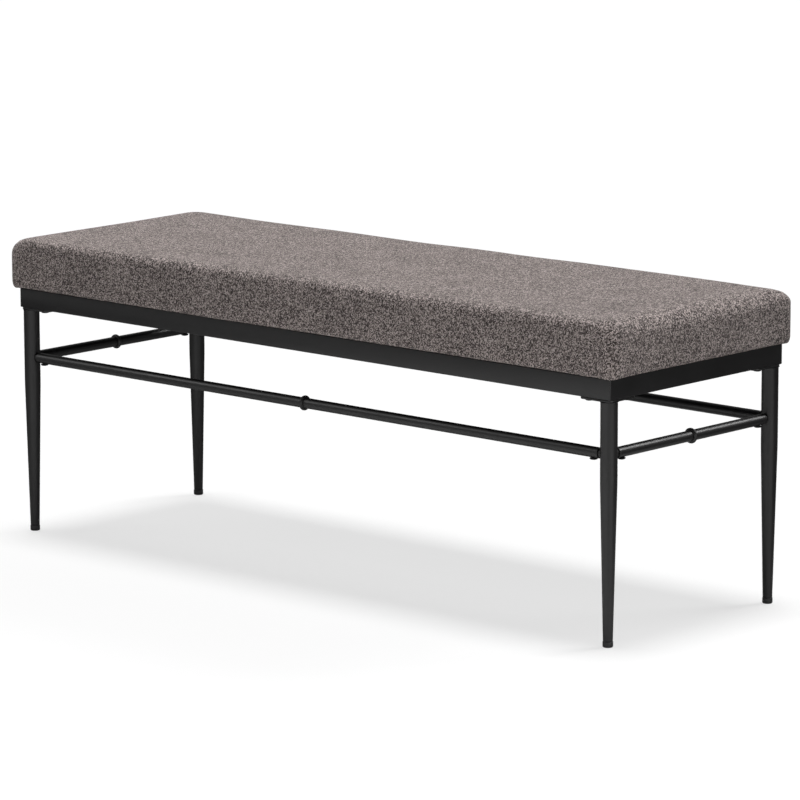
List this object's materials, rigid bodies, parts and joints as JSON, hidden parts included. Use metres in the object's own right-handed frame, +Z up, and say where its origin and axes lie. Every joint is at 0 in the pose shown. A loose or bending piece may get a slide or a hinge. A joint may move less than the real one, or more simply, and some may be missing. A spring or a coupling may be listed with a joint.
{
  "type": "entryway bench",
  "caption": "Backless entryway bench: a long fabric-covered seat cushion on a black steel rail frame with slim tapered round legs and round stretchers that carry a bead collar at the middle.",
  "frame": {"origin": "on the floor, at the centre of the bench in plan", "axes": "+X along the bench to its right end, +Y from its front to its back, +Z up"},
  "size_m": [1.24, 0.425, 0.473],
  "materials": {
    "seat_fabric": "heathered brown-grey woven melange with light and dark flecks, matte",
    "seat_foam": "open-cell cream upholstery foam",
    "plywood": "raw sanded plywood",
    "black_cloth": "thin black non-woven dust cloth",
    "black_steel": "satin black powder coat on steel",
    "black_screw": "black-oxide socket screws",
    "black_nylon": "moulded black nylon"
  },
  "bodies": {
    "root": {"seat_cover": "seat_fabric", "foam_pad": "seat_foam", "seat_board": "plywood", "dust_cover": "black_cloth", "front_rail": "black_steel", "back_rail": "black_steel", "left_rail": "black_steel", "right_rail": "black_steel", "left_cross_bar": "black_steel", "right_cross_bar": "black_steel", "front_left_leg": "black_steel", "front_left_leg_plate": "black_steel", "front_left_foot_glide": "black_nylon", "front_left_plate_bolt_long": "black_screw", "front_left_plate_bolt_side": "black_screw", "front_left_spigot_long": "black_steel", "front_left_spigot_side": "black_steel", "front_left_spigot_screw_long": "black_screw", "front_left_spigot_screw_side": "black_screw", "front_left_seat_screw": "black_screw", "front_right_leg": "black_steel", "front_right_leg_plate": "black_steel", "front_right_foot_glide": "black_nylon", "front_right_plate_bolt_long": "black_screw", "front_right_plate_bolt_side": "black_screw", "front_right_spigot_long": "black_steel", "front_right_spigot_side": "black_steel", "front_right_spigot_screw_long": "black_screw", "front_right_spigot_screw_side": "black_screw", "front_right_seat_screw": "black_screw", "back_left_leg": "black_steel", "back_left_leg_plate": "black_steel", "back_left_foot_glide": "black_nylon", "back_left_plate_bolt_long": "black_screw", "back_left_plate_bolt_side": "black_screw", "back_left_spigot_long": "black_steel", "back_left_spigot_side": "black_steel", "back_left_spigot_screw_long": "black_screw", "back_left_spigot_screw_side": "black_screw", "back_left_seat_screw": "black_screw", "back_right_leg": "black_steel", "back_right_leg_plate": "black_steel", "back_right_foot_glide": "black_nylon", "back_right_plate_bolt_long": "black_screw", "back_right_plate_bolt_side": "black_screw", "back_right_spigot_long": "black_steel", "back_right_spigot_side": "black_steel", "back_right_spigot_screw_long": "black_screw", "back_right_spigot_screw_side": "black_screw", "back_right_seat_screw": "black_screw", "front_stretcher": "black_steel", "front_stretcher_collar": "black_steel", "back_stretcher": "black_steel", "back_stretcher_collar": "black_steel", "left_stretcher": "black_steel", "left_stretcher_collar": "black_steel", "right_stretcher": "black_steel", "right_stretcher_collar": "black_steel"}
  },
  "joints": []
}
